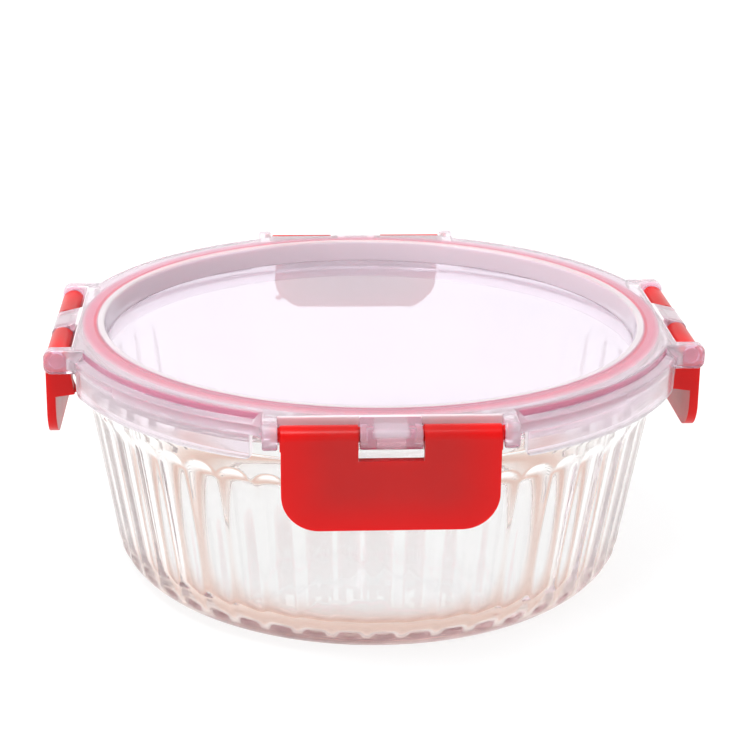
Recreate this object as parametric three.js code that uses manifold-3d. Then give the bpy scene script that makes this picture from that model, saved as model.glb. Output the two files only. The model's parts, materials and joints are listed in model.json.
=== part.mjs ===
// Round food container: a fluted glass bowl under a snap-on lid that four hinged latches hold shut.
// Millimetres, +Z up. The origin is the middle of the bowl's foot, on the table.
// The front latch faces -Y. The others follow every quarter turn.
import * as THREE from 'three';
import { mergeVertices } from 'three/addons/utils/BufferGeometryUtils.js';
import Module from 'manifold-3d';

const wasm = await Module();
wasm.setup();

// Running and seating gap between neighbouring pieces, and how far a cutter passes its target.
const clearance = 0.3;
const overrun = 3;

// Glass bowl: rim, wall, foot.
const rimRadius = 85.2;
const rimTop = 64.5;
const rimDepth = 4.5;
const rimOverhang = 2.7;
const rimEdge = 0.8;
const wallAngle = THREE.MathUtils.degToRad(9.8);
const glassWall = 4.2;
const floorThickness = 5;
const cornerRadius = 12;
const innerCornerRadius = 9;
const footRingWidth = 5;
const puntDepth = 0.7;
const puntSlopeWidth = 2;

// Flutes pressed into the outside of the bowl.
const fluteCount = 50;
const fluteDepth = 0.9;
const flutePlainBand = 6;
const fluteArch = 4.5;
const fluteFootHeight = 5.5;
const fluteFootArch = 5.5;

// Silicone seal ring: body in the lid's groove, two lips on the glass rim.
const sealInset = 3.3;
const sealWidth = 3.9;
const sealHeight = 5.9;
const lipHeight = 1.7;
const lipTipWidth = 0.6;
const lipRootWidth = 1.2;

// Lid frame: ring section.
const grooveRoofWall = 1.44;
const grooveWall = 1.5;
const grooveWallLift = 0.9;
const innerWall = 2.7;
const innerWallDraft = 0.8;
const ridgeEdge = 0.5;
const rebateLip = 0.8;
const shoulderWidth = 2.66;
const shoulderFall = 0.6;
const ridgeRise = 2.06;
const shoulderWall = 2;
const skirtRoom = 1.76;
const skirtWall = 1.3;
const skirtPastRim = -0.22;

// Clear window: a panel that fills the frame's well, on a thinner flange bonded into the frame's
// rebate from below.
const windowThickness = 1.7;
const windowFlange = 1.2;

// Latch bays of the frame: ears, knuckle and the gap in the skirt.
const bayWall = 0.8;
const earHalfHeight = 3.44;
const earNoseRadius = 2.2;
const earThickness = 3.8;
const earFillet = 4.5;
const earGap = 0.5;
const earWeb = 3.6;
const knuckleHalfWidth = 7.75;
const knucklePocketHalfWidth = 4.3;
const knucklePocketRoof = 2.6;
const knuckleFrontWall = 0.9;
const skirtGapHalfWidth = 34;
const skirtGapDrop = 2.78;
const skirtCornerRadius = 2.5;

// Latch.
const latchHalfWidth = 27.4;
const latchReach = 24.2;
const barrelRadius = 3.5;
const barrelInnerFlat = 2.6;
const pinRadius = 1.9;
const pinLength = 1.6;
const flapThickness = 2.5;
const flapSideInset = 0.3;
const flapCornerRadius = 9.5;
const notchSideGap = 0.4;
const notchDepth = 5.9;
const hookHalfWidth = 25;
const hookSlack = 0.8;
const hookRootHeight = 1.8;
const hookTipHeight = 0.9;
const gussetWidth = 2.6;
const gussetReach = 4.2;

// Facet counts: round the flutes, round the other turned pieces, round barrels and pins, and in arcs.
// The arch shares are the places of the edge loops along a flute's rounded top end.
const facetsPerFlute = 4;
const archShares = [0, 0.6, 1];
const ringFacets = 64;
const barrelFacets = 20;
const pinFacets = 10;
const arcSteps = 4;
const quarterTurn = Math.PI / 2;

// Places that follow from the sizes above.
const rimUnderside = rimTop - rimDepth;
const wallTopRadius = rimRadius - rimOverhang;
const mouthRadius = wallTopRadius - glassWall + Math.tan(wallAngle) * rimDepth;
const fluteTop = rimUnderside - flutePlainBand;

const sealOuter = rimRadius - sealInset;
const sealInner = sealOuter - sealWidth;
const sealBottom = rimTop + clearance;
const sealTop = sealBottom + sealHeight;

const grooveInner = sealInner - clearance;
const grooveOuter = sealOuter + clearance;
const grooveRoof = sealTop + clearance;
const grooveWallOuter = grooveOuter + grooveWall;
const grooveWallBottom = rimTop + grooveWallLift;
const ridgeTop = grooveRoof + grooveRoofWall;
const windowWell = grooveInner - innerWall;
const frameBottom = sealBottom;
const windowTop = frameBottom + windowThickness;
const windowFlangeTop = frameBottom + windowFlange;
const rebateRoof = windowFlangeTop + clearance;
const rebateRadius = grooveInner - rebateLip;
const skirtInner = rimRadius + skirtRoom;
const skirtOuter = skirtInner + skirtWall;
const skirtBottom = rimUnderside - skirtPastRim;
const ridgeOuter = skirtOuter - shoulderWidth;
const shoulderTop = ridgeTop - ridgeRise;
const shoulderEdge = shoulderTop - shoulderFall;
const pocketRoof = shoulderEdge - shoulderWall;
const skirtGapTop = shoulderEdge - skirtGapDrop;

const hingeHeight = ridgeTop - earHalfHeight;
const bayPlane = grooveOuter + bayWall;
const hingeReach = bayPlane + clearance + barrelRadius;
const earInner = latchHalfWidth + earGap;
const earOuter = earInner + earThickness;
const boreRadius = pinRadius + clearance;
const notchHalfWidth = knuckleHalfWidth + notchSideGap;
const flapHalfWidth = latchHalfWidth - flapSideInset;

// Materials, one for each finish of the object.
const clearGlass = new THREE.MeshStandardMaterial({
  color: 0xe6eceb,
  roughness: 0.04,
  metalness: 0,
  transparent: true,
  opacity: 0.35,
});
const frostedPlastic = new THREE.MeshStandardMaterial({
  color: 0xe9dbe1,
  roughness: 0.35,
  metalness: 0,
  transparent: true,
  opacity: 0.75,
});
const clearPlastic = new THREE.MeshStandardMaterial({
  color: 0xfdf6fc,
  roughness: 0.08,
  metalness: 0,
  transparent: true,
  opacity: 0.4,
});
const pinkSilicone = new THREE.MeshStandardMaterial({ color: 0xe6577e, roughness: 0.5, metalness: 0 });
const redPlastic = new THREE.MeshStandardMaterial({ color: 0xdc2420, roughness: 0.32, metalness: 0 });

// Closed solid from a geometry, with the vertices that its faces share merged.
function solidOf(geometry) {
  geometry.deleteAttribute('normal');
  geometry.deleteAttribute('uv');
  const merged = mergeVertices(geometry);
  return new wasm.Manifold(new wasm.Mesh({
    numProp: 3,
    vertProperties: merged.attributes.position.array,
    triVerts: merged.index.array,
  }));
}

// Geometry from a closed solid.
function geometryOf(solid) {
  const mesh = solid.getMesh();
  const geometry = new THREE.BufferGeometry();
  geometry.setAttribute('position', new THREE.BufferAttribute(mesh.vertProperties, 3));
  geometry.setIndex(new THREE.BufferAttribute(mesh.triVerts, 1));
  geometry.computeVertexNormals();
  return geometry;
}

// Outline of [radius, height] points turned about +Z. Its first facet edge faces -Y.
function turned(outline, facets) {
  const points = outline.map(([radius, height]) => new THREE.Vector2(radius, height));
  const geometry = new THREE.LatheGeometry(points, facets);
  geometry.rotateX(quarterTurn);
  return geometry;
}

// Upright cylinder about the origin's axis, from one height to another.
function uprightCylinder(radius, low, high) {
  return turned([[0, low], [radius, low], [radius, high], [0, high]], ringFacets);
}

// Round bar about the hinge axis, between two places along it.
function hingeBar(radius, from, to, facets) {
  const geometry = new THREE.CylinderGeometry(radius, radius, to - from, facets);
  geometry.rotateZ(quarterTurn);
  geometry.translate((from + to) / 2, 0, 0);
  return geometry;
}

// Box between two corners.
function boxBetween(low, high) {
  const size = high.map((value, axis) => value - low[axis]);
  const middle = high.map((value, axis) => (value + low[axis]) / 2);
  const geometry = new THREE.BoxGeometry(...size);
  geometry.translate(...middle);
  return geometry;
}

// Flat outline of (y, z) points given thickness along X, between two places.
function alongHinge(shape, from, to) {
  const geometry = new THREE.ExtrudeGeometry(shape, {
    depth: to - from,
    bevelEnabled: false,
    curveSegments: arcSteps,
  });
  geometry.translate(0, 0, from);
  geometry.applyMatrix4(new THREE.Matrix4().makeBasis(
    new THREE.Vector3(0, 1, 0),
    new THREE.Vector3(0, 0, 1),
    new THREE.Vector3(1, 0, 0),
  ));
  return geometry;
}

// Flat outline of (x, z) points given thickness along Y, from one depth out towards -Y.
function outwards(shape, inner, outer) {
  const geometry = new THREE.ExtrudeGeometry(shape, {
    depth: outer - inner,
    bevelEnabled: false,
    curveSegments: arcSteps,
  });
  geometry.rotateX(quarterTurn);
  geometry.translate(0, -inner, 0);
  return geometry;
}

// Joins a list of solids.
function joined(solids) {
  return solids.reduce((sum, solid) => sum.add(solid));
}

// The same geometry at each of the four latch bays.
function atEachBay(makeGeometry) {
  const bays = [0, 1, 2, 3];
  return joined(bays.map((bay) => solidOf(makeGeometry().rotateZ(bay * quarterTurn))));
}

// Radius of a drafted wall at a height, from its radius under the rim.
function wallRadius(topRadius, height) {
  return topRadius - Math.tan(wallAngle) * (rimUnderside - height);
}

// Arc from a flat floor up to the drafted wall, tangent to both.
function floorArc(topRadius, floorHeight, radius, steps) {
  const tangentHeight = floorHeight + radius * (1 - Math.sin(wallAngle));
  const centre = wallRadius(topRadius, tangentHeight) - radius * Math.cos(wallAngle);
  const points = [];
  for (let step = 0; step <= steps; step += 1) {
    const angle = -quarterTurn + (quarterTurn - wallAngle) * (step / steps);
    points.push([centre + radius * Math.cos(angle), floorHeight + radius * (1 + Math.sin(angle))]);
  }
  return points;
}

// How deep the flutes are at an angle round the bowl and a height. Each flute is a shallow hollow
// with a sharp ridge on either side and rounded ends. One is centred on the front latch.
function fluteCut(angle, height) {
  const pitch = (2 * Math.PI) / fluteCount;
  const across = 2 * (angle / pitch - Math.round(angle / pitch));
  const topEnd = (height - (fluteTop - fluteArch)) / fluteArch;
  const footEnd = (fluteFootHeight + fluteFootArch - height) / fluteFootArch;
  const along = Math.max(0, topEnd, footEnd);
  return fluteDepth * Math.max(0, 1 - across ** 2 - along ** 2);
}

// Pressed glass bowl: fluted drafted wall on a rounded foot, outward rim, hollowed inside.
function makeBowl() {
  const archHeights = archShares.map((share) => fluteTop - fluteArch * (1 - share));
  const footArc = floorArc(wallTopRadius, 0, cornerRadius, arcSteps);
  const outside = [
    [0, 0],
    ...footArc,
    ...archHeights.map((height) => [wallRadius(wallTopRadius, height), height]),
    [wallTopRadius, rimUnderside],
    [rimRadius - rimEdge, rimUnderside],
    [rimRadius, rimUnderside + rimEdge],
    [rimRadius, rimTop - rimEdge],
    [rimRadius - rimEdge, rimTop],
    [0, rimTop],
  ];
  const geometry = turned(outside, fluteCount * facetsPerFlute);
  const position = geometry.attributes.position;
  for (let index = 0; index < position.count; index += 1) {
    const x = position.getX(index);
    const y = position.getY(index);
    const radius = Math.hypot(x, y);
    const cut = fluteCut(Math.atan2(x, -y), position.getZ(index));
    if (cut > 0) {
      position.setX(index, x * (1 - cut / radius));
      position.setY(index, y * (1 - cut / radius));
    }
  }

  const cavity = turned([
    [0, floorThickness],
    ...floorArc(wallTopRadius - glassWall, floorThickness, innerCornerRadius, arcSteps - 1),
    [mouthRadius, rimTop - rimEdge],
    [mouthRadius + rimEdge, rimTop],
    [mouthRadius + rimEdge, rimTop + overrun],
    [0, rimTop + overrun],
  ], ringFacets);

  const puntRadius = footArc[0][0] - footRingWidth;
  const punt = turned([
    [0, -overrun],
    [puntRadius, -overrun],
    [puntRadius, 0],
    [puntRadius - puntSlopeWidth, puntDepth],
    [0, puntDepth],
  ], ringFacets);

  return geometryOf(solidOf(geometry).subtract(solidOf(cavity)).subtract(solidOf(punt)));
}

// Silicone ring: a square body with two tapered lips that bear on the glass rim.
function makeSealRing() {
  const lipRoot = sealBottom + lipHeight;
  const bevel = (lipRootWidth - lipTipWidth) / 2;
  const outerLip = sealOuter - lipRootWidth;
  const innerLip = outerLip - lipRootWidth;
  const outline = [
    [sealInner, sealTop],
    [sealInner, lipRoot],
    [innerLip - bevel, lipRoot],
    [innerLip, sealBottom],
    [innerLip + lipTipWidth, sealBottom],
    [outerLip - bevel, lipRoot],
    [outerLip, lipRoot],
    [outerLip + bevel, sealBottom],
    [outerLip + bevel + lipTipWidth, sealBottom],
    [sealOuter, lipRoot],
    [sealOuter, sealTop],
    [sealInner, sealTop],
  ];
  return turned(outline, ringFacets);
}

// Clear disc: its raised middle stands in the frame's well, its flange lies under the frame's wall.
function makeWindow() {
  const flangeRadius = rebateRadius - clearance;
  const panelRadius = windowWell - clearance;
  return turned([
    [0, frameBottom],
    [flangeRadius, frameBottom],
    [flangeRadius, windowFlangeTop],
    [panelRadius, windowFlangeTop],
    [panelRadius, windowTop],
    [0, windowTop],
  ], ringFacets);
}

// Side view of an ear or the knuckle, about the hinge axis: a level bar with a blunt round nose.
function lugOutline(root) {
  const corner = earHalfHeight - earNoseRadius;
  const nose = barrelRadius - earNoseRadius;
  const shape = new THREE.Shape();
  shape.moveTo(root, -earHalfHeight);
  shape.lineTo(root, earHalfHeight);
  shape.lineTo(-nose, earHalfHeight);
  shape.absarc(-nose, corner, earNoseRadius, quarterTurn, Math.PI, false);
  shape.absarc(-nose, -corner, earNoseRadius, Math.PI, Math.PI + quarterTurn, false);
  shape.lineTo(root, -earHalfHeight);
  return shape;
}

// Web in the corner between an ear's outer side and the ring, hollowed by the ear's fillet.
function earWebGeometry(side) {
  const centreX = earOuter + earFillet;
  const centreY = Math.sqrt((skirtOuter + earFillet) ** 2 - centreX ** 2);
  const ringAngle = Math.atan2(centreY, centreX);
  const inRing = skirtOuter - skirtWall;
  const shape = new THREE.Shape();
  shape.moveTo(side * (earOuter - earWeb), bayPlane - earWeb);
  shape.lineTo(side * (earOuter - earWeb), centreY);
  shape.lineTo(side * earOuter, centreY);
  const startAngle = Math.PI;
  const endAngle = Math.PI + ringAngle;
  for (let step = 1; step <= arcSteps; step += 1) {
    const angle = startAngle + (endAngle - startAngle) * (step / arcSteps);
    shape.lineTo(side * (centreX + earFillet * Math.cos(angle)), centreY + earFillet * Math.sin(angle));
  }
  shape.lineTo(side * inRing * Math.cos(ringAngle), inRing * Math.sin(ringAngle));
  const geometry = new THREE.ExtrudeGeometry(shape, {
    depth: shoulderEdge - skirtGapTop,
    bevelEnabled: false,
  });
  geometry.rotateZ(Math.PI);
  geometry.translate(0, 0, skirtGapTop);
  return geometry;
}

// Gap that the skirt leaves for a latch, seen from the front. The skirt's lower corners are rounded.
function skirtGapOutline() {
  const half = skirtGapHalfWidth;
  const corner = skirtCornerRadius;
  const shape = new THREE.Shape();
  shape.moveTo(-half, skirtGapTop);
  shape.lineTo(-half, skirtBottom + corner);
  shape.absarc(-half - corner, skirtBottom + corner, corner, 0, -quarterTurn, true);
  shape.lineTo(-half - corner, skirtBottom - overrun);
  shape.lineTo(half + corner, skirtBottom - overrun);
  shape.lineTo(half + corner, skirtBottom);
  shape.absarc(half + corner, skirtBottom + corner, corner, -quarterTurn, -Math.PI, true);
  shape.lineTo(half, skirtGapTop);
  return shape;
}

// Frosted lid frame: ring with window rebate, seal groove, ridge, shoulder and skirt, and at each
// of four bays a flat back wall, two ears and a hollow knuckle that carry a latch's pins.
function makeLidFrame() {
  const ring = solidOf(turned([
    [windowWell, rebateRoof],
    [rebateRadius, rebateRoof],
    [rebateRadius, frameBottom],
    [grooveInner, frameBottom],
    [grooveInner, grooveRoof],
    [grooveOuter, grooveRoof],
    [grooveOuter, grooveWallBottom],
    [grooveWallOuter, grooveWallBottom],
    [grooveWallOuter, pocketRoof],
    [skirtInner, pocketRoof],
    [skirtInner, skirtBottom],
    [skirtOuter, skirtBottom],
    [skirtOuter, shoulderEdge],
    [ridgeOuter, shoulderTop],
    [ridgeOuter, ridgeTop - ridgeEdge],
    [ridgeOuter - ridgeEdge, ridgeTop],
    [windowWell + innerWallDraft, ridgeTop],
    [windowWell, rebateRoof],
  ], ringFacets));

  const outside = skirtOuter + overrun;
  const core = solidOf(uprightCylinder(grooveWallOuter, frameBottom - overrun, grooveRoof));
  const skirtGap = () => outwards(skirtGapOutline(), windowWell, outside);
  const bayCut = () => boxBetween(
    [-earInner, -outside, skirtBottom - overrun],
    [earInner, -bayPlane, ridgeTop + overrun],
  );
  const backWall = () => boxBetween(
    [-earOuter, -bayPlane, grooveWallBottom],
    [earOuter, earWeb - bayPlane, ridgeTop],
  );

  const root = hingeReach - bayPlane + earWeb;
  const onHinge = (geometry) => geometry.translate(0, -hingeReach, hingeHeight);
  const lug = (from, to) => () => onHinge(alongHinge(lugOutline(root), from, to));
  const lugs = joined([
    atEachBay(lug(earInner, earOuter)),
    atEachBay(lug(-earOuter, -earInner)),
    atEachBay(lug(-knuckleHalfWidth, knuckleHalfWidth)),
    atEachBay(backWall),
    atEachBay(() => earWebGeometry(1)),
    atEachBay(() => earWebGeometry(-1)),
  ]);
  const groove = solidOf(uprightCylinder(grooveOuter, frameBottom - overrun, grooveRoof));

  const boreStart = knuckleHalfWidth - pinLength - clearance;
  const boreEnd = earInner + pinLength + clearance;
  const bore = (from, to) => () => onHinge(hingeBar(boreRadius, from, to, pinFacets));
  const pocket = () => onHinge(boxBetween(
    [-knucklePocketHalfWidth, knuckleFrontWall - barrelRadius, -earHalfHeight - overrun],
    [knucklePocketHalfWidth, hingeReach - bayPlane, knucklePocketRoof],
  ));

  const body = ring
    .subtract(atEachBay(skirtGap).subtract(core))
    .subtract(atEachBay(bayCut))
    .add(lugs.subtract(groove))
    .subtract(atEachBay(bore(boreStart, boreEnd)))
    .subtract(atEachBay(bore(-boreEnd, -boreStart)))
    .subtract(atEachBay(pocket));
  return geometryOf(body);
}

// Front view of a latch's flap below the hinge axis, with the notch that clears the knuckle.
function flapOutline() {
  const side = flapHalfWidth;
  const corner = flapCornerRadius;
  const shape = new THREE.Shape();
  shape.moveTo(-side, 0);
  shape.lineTo(-side, corner - latchReach);
  shape.absarc(corner - side, corner - latchReach, corner, Math.PI, Math.PI + quarterTurn, false);
  shape.absarc(side - corner, corner - latchReach, corner, -quarterTurn, 0, false);
  shape.lineTo(side, 0);
  shape.lineTo(notchHalfWidth, 0);
  shape.lineTo(notchHalfWidth, -notchDepth);
  shape.lineTo(-notchHalfWidth, -notchDepth);
  shape.lineTo(-notchHalfWidth, 0);
  shape.lineTo(-side, 0);
  return shape;
}

// A latch's right barrel about the hinge axis, flat towards the lid, with a pin at each end.
function makeBarrel() {
  const barrel = solidOf(hingeBar(barrelRadius, notchHalfWidth, latchHalfWidth, barrelFacets));
  const innerSide = solidOf(boxBetween(
    [notchHalfWidth - overrun, barrelInnerFlat, -barrelRadius - overrun],
    [latchHalfWidth + overrun, barrelRadius + overrun, barrelRadius + overrun],
  ));
  const pinInner = knuckleHalfWidth - pinLength;
  const pinOuter = earInner + pinLength;
  const pins = solidOf(hingeBar(pinRadius, pinInner, pinOuter, pinFacets));
  return barrel.subtract(innerSide).add(pins);
}

// Latch in one moulding, about its hinge axis: two barrels with their pins, a flat flap, a hook rib
// inside whose edge follows the round glass rim, and a gusset at each end from barrel to hook.
function makeLatch() {
  const flap = outwards(flapOutline(), barrelRadius - flapThickness, barrelRadius);
  const barrel = makeBarrel();
  const acrossTheMiddle = [1, 0, 0];

  const hookTop = rimUnderside - hookSlack - hingeHeight;
  const flapMiddle = barrelRadius - flapThickness / 2;
  const hookInner = hingeReach - Math.sqrt(rimRadius ** 2 - hookHalfWidth ** 2);
  const hookShape = new THREE.Shape();
  hookShape.moveTo(-flapMiddle, hookTop);
  hookShape.lineTo(-flapMiddle, hookTop - hookRootHeight);
  hookShape.lineTo(hookInner, hookTop - hookTipHeight);
  hookShape.lineTo(hookInner, hookTop);
  const bar = solidOf(alongHinge(hookShape, -hookHalfWidth, hookHalfWidth));
  const rimRoom = uprightCylinder(rimRadius + clearance, hookTop - overrun, hookTop + overrun);
  const hook = bar.subtract(solidOf(rimRoom.translate(0, hingeReach, 0)));

  const gussetShape = new THREE.Shape();
  gussetShape.moveTo(barrelInnerFlat, 0);
  gussetShape.lineTo(-flapMiddle, 0);
  gussetShape.lineTo(-flapMiddle, hookTop - hookRootHeight);
  gussetShape.lineTo(gussetReach, hookTop - hookTipHeight);
  const gusset = solidOf(alongHinge(gussetShape, flapHalfWidth - gussetWidth, flapHalfWidth));

  const rightEnd = barrel.add(gusset);
  return geometryOf(solidOf(flap).add(hook).add(rightEnd).add(rightEnd.mirror(acrossTheMiddle)));
}

const container = new THREE.Group();

const bowl = new THREE.Mesh(makeBowl(), clearGlass);
bowl.name = 'bowl';
container.add(bowl);

const lidFrame = new THREE.Mesh(makeLidFrame(), frostedPlastic);
lidFrame.name = 'lid_frame';
container.add(lidFrame);

const lidWindow = new THREE.Mesh(makeWindow(), clearPlastic);
lidWindow.name = 'lid_window';
container.add(lidWindow);

const sealRing = new THREE.Mesh(makeSealRing(), pinkSilicone);
sealRing.name = 'seal_ring';
container.add(sealRing);

// The four latches, each in a group turned to its side of the lid.
const latchGeometry = makeLatch();
const latchSides = ['front', 'right', 'back', 'left'];
latchSides.forEach((side, bay) => {
  const latch = new THREE.Mesh(latchGeometry, redPlastic);
  latch.name = `latch_${side}`;
  latch.position.set(0, -hingeReach, hingeHeight);
  const station = new THREE.Group();
  station.rotation.z = bay * quarterTurn;
  station.add(latch);
  container.add(station);
});

export default container;
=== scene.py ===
import json
import math

import bmesh
import bpy
from mathutils import Matrix, Vector


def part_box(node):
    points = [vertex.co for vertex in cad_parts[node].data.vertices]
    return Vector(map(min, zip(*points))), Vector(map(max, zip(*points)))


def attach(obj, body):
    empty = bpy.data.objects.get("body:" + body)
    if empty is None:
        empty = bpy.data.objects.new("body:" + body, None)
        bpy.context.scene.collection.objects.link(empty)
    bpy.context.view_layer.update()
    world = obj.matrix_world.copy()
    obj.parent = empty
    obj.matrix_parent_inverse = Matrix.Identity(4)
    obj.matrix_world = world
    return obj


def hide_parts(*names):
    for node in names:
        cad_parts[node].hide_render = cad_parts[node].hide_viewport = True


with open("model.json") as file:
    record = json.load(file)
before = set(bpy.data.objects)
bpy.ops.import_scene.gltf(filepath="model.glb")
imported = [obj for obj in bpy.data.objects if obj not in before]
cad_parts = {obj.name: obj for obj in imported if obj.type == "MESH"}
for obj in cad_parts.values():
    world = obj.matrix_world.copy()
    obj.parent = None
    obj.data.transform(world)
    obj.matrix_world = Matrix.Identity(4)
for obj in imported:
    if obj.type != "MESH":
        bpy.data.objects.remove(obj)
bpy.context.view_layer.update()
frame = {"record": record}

# Camera: a product photograph taken from a little above, with a long lens. The container is turned
# a few degrees on the table, which shows here as a camera that stands a few degrees to one side.
# Its target is the middle of the lid, at the height of the latch hinges.
joints = {joint["name"]: joint for joint in frame["record"]["behaviour"]["joints"]}
hinge_y, hinge_z = joints["latch_front_hinge"]["pos_m"][1:]
camera_distance = 0.5587
camera_elevation = math.radians(18.10)
camera_side = math.radians(3.515)
camera_roll = math.radians(0.635)
target = Vector((0, 0, hinge_z))
towards_camera = Vector((
    -math.cos(camera_elevation) * math.sin(camera_side),
    -math.cos(camera_elevation) * math.cos(camera_side),
    math.sin(camera_elevation),
))
camera_data = bpy.data.cameras.new("camera")
camera_data.lens = 93.23
camera_data.shift_x = 0.00585
camera_data.shift_y = -0.0680
camera = bpy.data.objects.new("camera", camera_data)
bpy.context.collection.objects.link(camera)
camera.location = target + camera_distance * towards_camera
look = (-towards_camera).to_track_quat("-Z", "Y").to_matrix().to_4x4()
camera.matrix_world = Matrix.Translation(camera.location) @ look @ Matrix.Rotation(camera_roll, 4, "Z")
bpy.context.scene.camera = camera
bpy.context.scene.view_settings.view_transform = "Standard"
bpy.context.scene.cycles.max_bounces = 40
bpy.context.scene.cycles.transmission_bounces = 40
bpy.context.scene.cycles.glossy_bounces = 40
bpy.context.scene.cycles.diffuse_bounces = 10


# Table and light: a plain white acrylic table lit from below, under a wide studio tent with a large
# soft lamp above. The tent is brightest at the back and dimmer at the sides and overhead.
def object_from(bm, name):
    mesh = bpy.data.meshes.new(name)
    bm.to_mesh(mesh)
    bm.free()
    made = bpy.data.objects.new(name, mesh)
    bpy.context.collection.objects.link(made)
    return made


def new_material(name):
    material = bpy.data.materials.new(name)
    material.use_nodes = True
    return material, material.node_tree.nodes, material.node_tree.links


def ramp(nodes, links, value, start, end, at_start, at_end):
    """A number that goes from at_start to at_end while the value goes from start to end."""
    made = nodes.new("ShaderNodeMapRange")
    made.inputs["From Min"].default_value = start
    made.inputs["From Max"].default_value = end
    made.inputs["To Min"].default_value = at_start
    made.inputs["To Max"].default_value = at_end
    links.new(value, made.inputs["Value"])
    return made.outputs["Result"]


def product(nodes, links, *factors):
    """All factors multiplied."""
    result = factors[0]
    for factor in factors[1:]:
        times = nodes.new("ShaderNodeMath")
        times.operation = "MULTIPLY"
        links.new(result, times.inputs[0])
        links.new(factor, times.inputs[1])
        result = times.outputs["Value"]
    return result


table_half = 6.0
table_drop = 0.0002
bm = bmesh.new()
bmesh.ops.create_grid(bm, x_segments=8, y_segments=8, size=table_half)
bmesh.ops.translate(bm, verts=bm.verts, vec=(0, 0, -table_drop))
table = object_from(bm, "table")
white_table, nodes, links = new_material("white_table")
acrylic = nodes["Principled BSDF"]
acrylic.inputs["Base Color"].default_value = (0.25, 0.25, 0.25, 1)
acrylic.inputs["Roughness"].default_value = 0.9
acrylic.inputs["Specular IOR Level"].default_value = 0.1
acrylic.inputs["Emission Color"].default_value = (1, 1, 1, 1)
acrylic.inputs["Emission Strength"].default_value = 0.86
table.data.materials.append(white_table)

tent = bpy.data.worlds.new("tent")
bpy.context.scene.world = tent
tent.use_nodes = True
nodes, links = tent.node_tree.nodes, tent.node_tree.links
where = nodes.new("ShaderNodeTexCoord")
split = nodes.new("ShaderNodeSeparateXYZ")
sides = nodes.new("ShaderNodeMath")
sides.operation = "ABSOLUTE"
links.new(where.outputs["Generated"], split.inputs["Vector"])
links.new(split.outputs["X"], sides.inputs[0])
side_fall = ramp(nodes, links, sides.outputs["Value"], start=0.6, end=0.95, at_start=1.0, at_end=0.8)
top_fall = ramp(nodes, links, split.outputs["Z"], start=0.05, end=0.65, at_start=0.95, at_end=0.45)
back_rise = ramp(nodes, links, split.outputs["Y"], start=-0.7, end=0.7, at_start=0.85, at_end=1.3)
links.new(product(nodes, links, side_fall, top_fall, back_rise), nodes["Background"].inputs["Strength"])
nodes["Background"].inputs["Color"].default_value = (1.0, 0.995, 0.99, 1)

lamp_data = bpy.data.lights.new("soft_lamp", "AREA")
lamp_data.shape = "RECTANGLE"
lamp_data.size = 1.0
lamp_data.size_y = 0.6
lamp_data.energy = 18
lamp = bpy.data.objects.new("soft_lamp", lamp_data)
bpy.context.collection.objects.link(lamp)
lamp.location = (-0.35, -0.25, 1.3)
lamp.rotation_euler = (target - lamp.location).to_track_quat("-Z", "Y").to_euler()


# Bowl: clear pressed glass, 4 to 5 mm thick. Fifty shallow flutes with arched ends run down the
# outside, and the plain inside and the thick outward rim are smooth. It stands on a ring-shaped foot.
bowl_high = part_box("bowl")[1]
rim_radius, rim_top = bowl_high.x, bowl_high.z
rim_depth = 0.0045
rim_overhang = 0.0027
rim_rounding = 0.0009
rim_root_rounding = 0.0012
glass_wall = 0.0042
glass_floor = 0.005
wall_lean = math.tan(math.radians(9.8))
foot_corner = 0.012
inner_corner = 0.009
foot_ring = 0.005
punt_depth = 0.0007
punt_slope = 0.002
foot_rounding = 0.0006
flute_count = 50
steps_per_flute = 12
flute_depth = 0.0009
flute_top = rim_top - rim_depth - 0.006
flute_arch = 0.0045
flute_foot = 0.0055
flute_foot_arch = 0.0055
ridge_start_share = 0.82
clear_tint = (0.975, 0.975, 0.97)
# Painted reflection and shade: towards the outer corner of the foot the glass is tinted warm grey-pink,
# standing in for pink and dark things reflected in it and seen through it.
foot_painted_reflection = (0.74, 0.47, 0.37)
warm_height = 0.02
warm_from_radius = 0.050
warm_to_radius = 0.068
touching = 1e-6
arc_step = 0.0004


def profile_face(bm, corners, segments=4):
    """Flat outline in the XZ plane from (radius, height, rounding) corners, each corner rounded."""
    verts = [bm.verts.new((radius, 0, height)) for radius, height, rounding in corners]
    face = bm.faces.new(verts)
    by_rounding = {}
    for vert, (radius, height, rounding) in zip(verts, corners):
        if rounding:
            by_rounding.setdefault(rounding, []).append(vert)
    for rounding, group in by_rounding.items():
        bmesh.ops.bevel(
            bm, geom=group, affect="VERTICES", offset=rounding, profile=0.5, material=-1,
            segments=max(segments, round(rounding / arc_step)), clamp_overlap=False,
        )
    return face


def spin_outline(bm, steps):
    """Turns the outline in bm about Z into a closed shell, and closes its poles."""
    bmesh.ops.delete(bm, geom=bm.faces[:], context="FACES_ONLY")
    axis_edges = [e for e in bm.edges if all(abs(v.co.x) < touching for v in e.verts)]
    bmesh.ops.delete(bm, geom=axis_edges, context="EDGES")
    bmesh.ops.spin(
        bm, geom=bm.verts[:] + bm.edges[:], axis=(0, 0, 1), cent=(0, 0, 0),
        angle=math.tau, steps=steps, use_merge=True,
    )
    bmesh.ops.remove_doubles(bm, verts=bm.verts, dist=touching)
    bmesh.ops.recalc_face_normals(bm, faces=bm.faces)


def wall_radius(top_radius, height):
    return top_radius - wall_lean * (rim_top - rim_depth - height)


def corner_arc(top_radius, floor_height, rounding, steps):
    """Arc from the flat floor up to the drafted wall, as (radius, height) points."""
    lean = math.atan(wall_lean)
    tangent = floor_height + rounding * (1 - math.sin(lean))
    centre = wall_radius(top_radius, tangent) - rounding * math.cos(lean)
    angles = [-math.pi / 2 + (math.pi / 2 - lean) * step / steps for step in range(steps + 1)]
    rise = floor_height + rounding
    return [(centre + rounding * math.cos(a), rise + rounding * math.sin(a)) for a in angles]


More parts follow.
